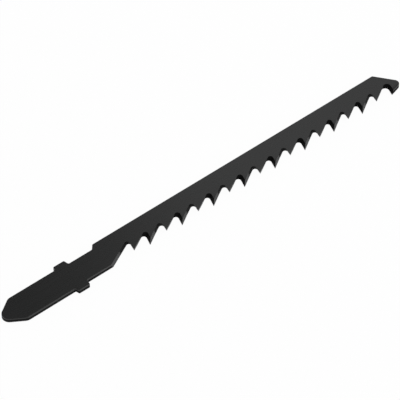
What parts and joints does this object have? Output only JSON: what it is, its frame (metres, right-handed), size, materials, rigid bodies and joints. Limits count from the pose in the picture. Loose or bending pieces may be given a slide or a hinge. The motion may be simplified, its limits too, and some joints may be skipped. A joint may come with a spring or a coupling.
{
  "type": "jigsaw blade",
  "caption": "Straight jigsaw blade with a lugged T shank, coarse ground teeth set by turns to both sides, and a slanting nose.",
  "frame": {"origin": "under the middle of the blade's length, on the centre line of the shank, at the level of the tips that are set downwards", "axes": "+X along the blade from the end of the tang to the nose, +Y from the teeth to the back, +Z through the sheet"},
  "size_m": [0.1004, 0.0078, 0.0014],
  "materials": {
    "blade": "satin black finish on carbon steel"
  },
  "bodies": {
    "root": {"blade": "blade"}
  },
  "joints": []
}
